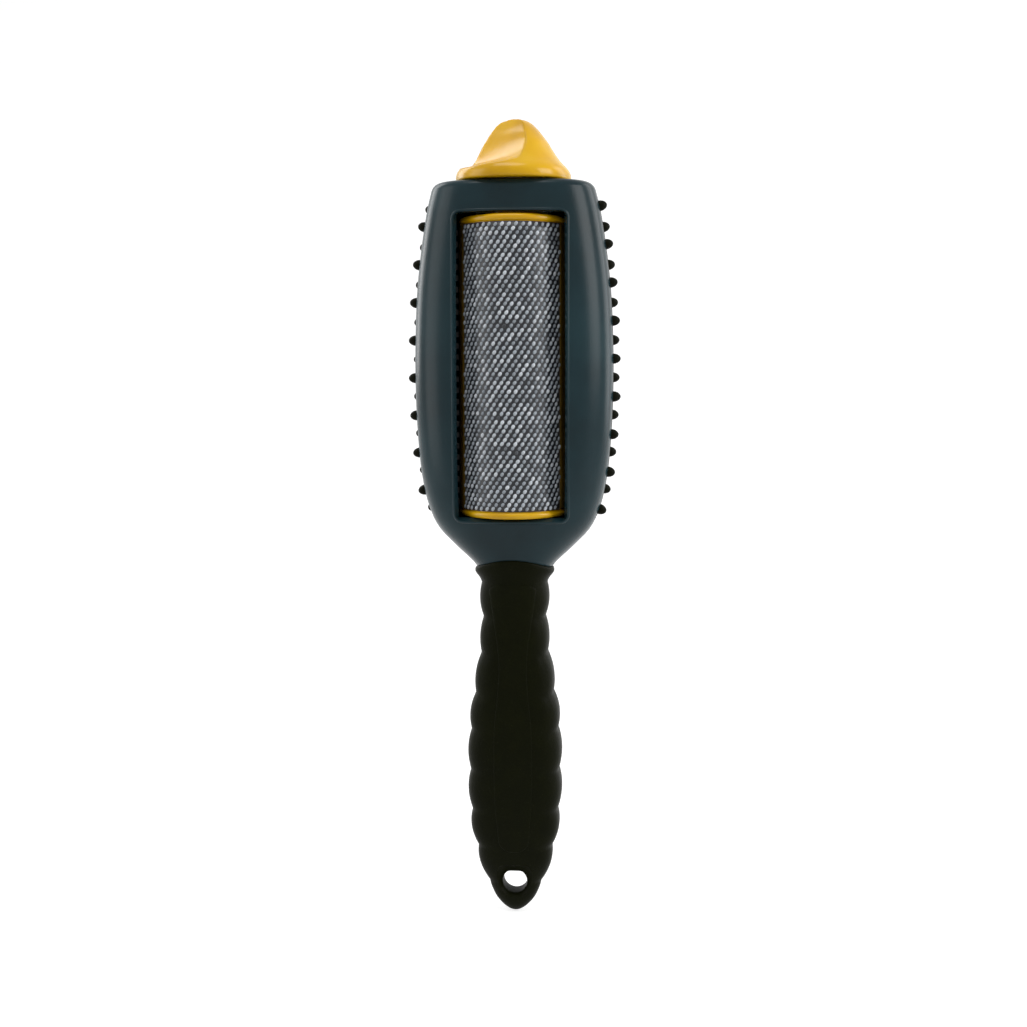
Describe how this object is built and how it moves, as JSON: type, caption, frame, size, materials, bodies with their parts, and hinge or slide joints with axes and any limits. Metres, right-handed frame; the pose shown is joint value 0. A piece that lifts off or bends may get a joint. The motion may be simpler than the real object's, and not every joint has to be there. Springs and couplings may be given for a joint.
{
  "type": "rotary clothes brush",
  "caption": "Hand brush with a turning drum of lint-lifting pile behind a front window, a twist knob on top, a nubbed rubber back and a scalloped grip.",
  "frame": {"origin": "centre of the grip, where a hand holds the brush", "axes": "+Z along the brush from handle to knob, -Y out of the drum's window, +X to the right seen from the window"},
  "size_m": [0.0654, 0.0415, 0.2451],
  "materials": {
    "shell": "satin moulded ABS",
    "drum": "moulded polypropylene",
    "rubber": "soft-touch moulded",
    "pile": "directional pile",
    "acetal": "machined acetal",
    "felt": "pressed felt",
    "wiper": "moulded comb",
    "core": "moulded, glass filled",
    "steel": "zinc plated"
  },
  "bodies": {
    "housing": {"front_shell": "shell", "rear_shell": "shell", "nub_pad": "rubber", "top_bush": "acetal", "bottom_bush": "acetal", "felt_washer": "felt", "wiper_left": "wiper", "wiper_right": "wiper", "shell_screws": "steel", "handle_core": "core", "tang_screws": "steel", "grip_sleeve": "rubber", "grip_panel_front": "rubber", "grip_panel_rear": "rubber"},
    "drum": {"drum_tube": "drum", "drum_cap_top": "drum", "drum_cap_bottom": "drum", "fabric_front": "pile", "fabric_rear": "pile", "knob": "drum", "knob_screw": "steel"}
  },
  "joints": [
    {"name": "drum_turn", "type": "hinge", "parent": "housing", "child": "drum", "pos_m": [0, 0, 0.1165], "axis": [0, 0, 1], "continuous": true}
  ]
}
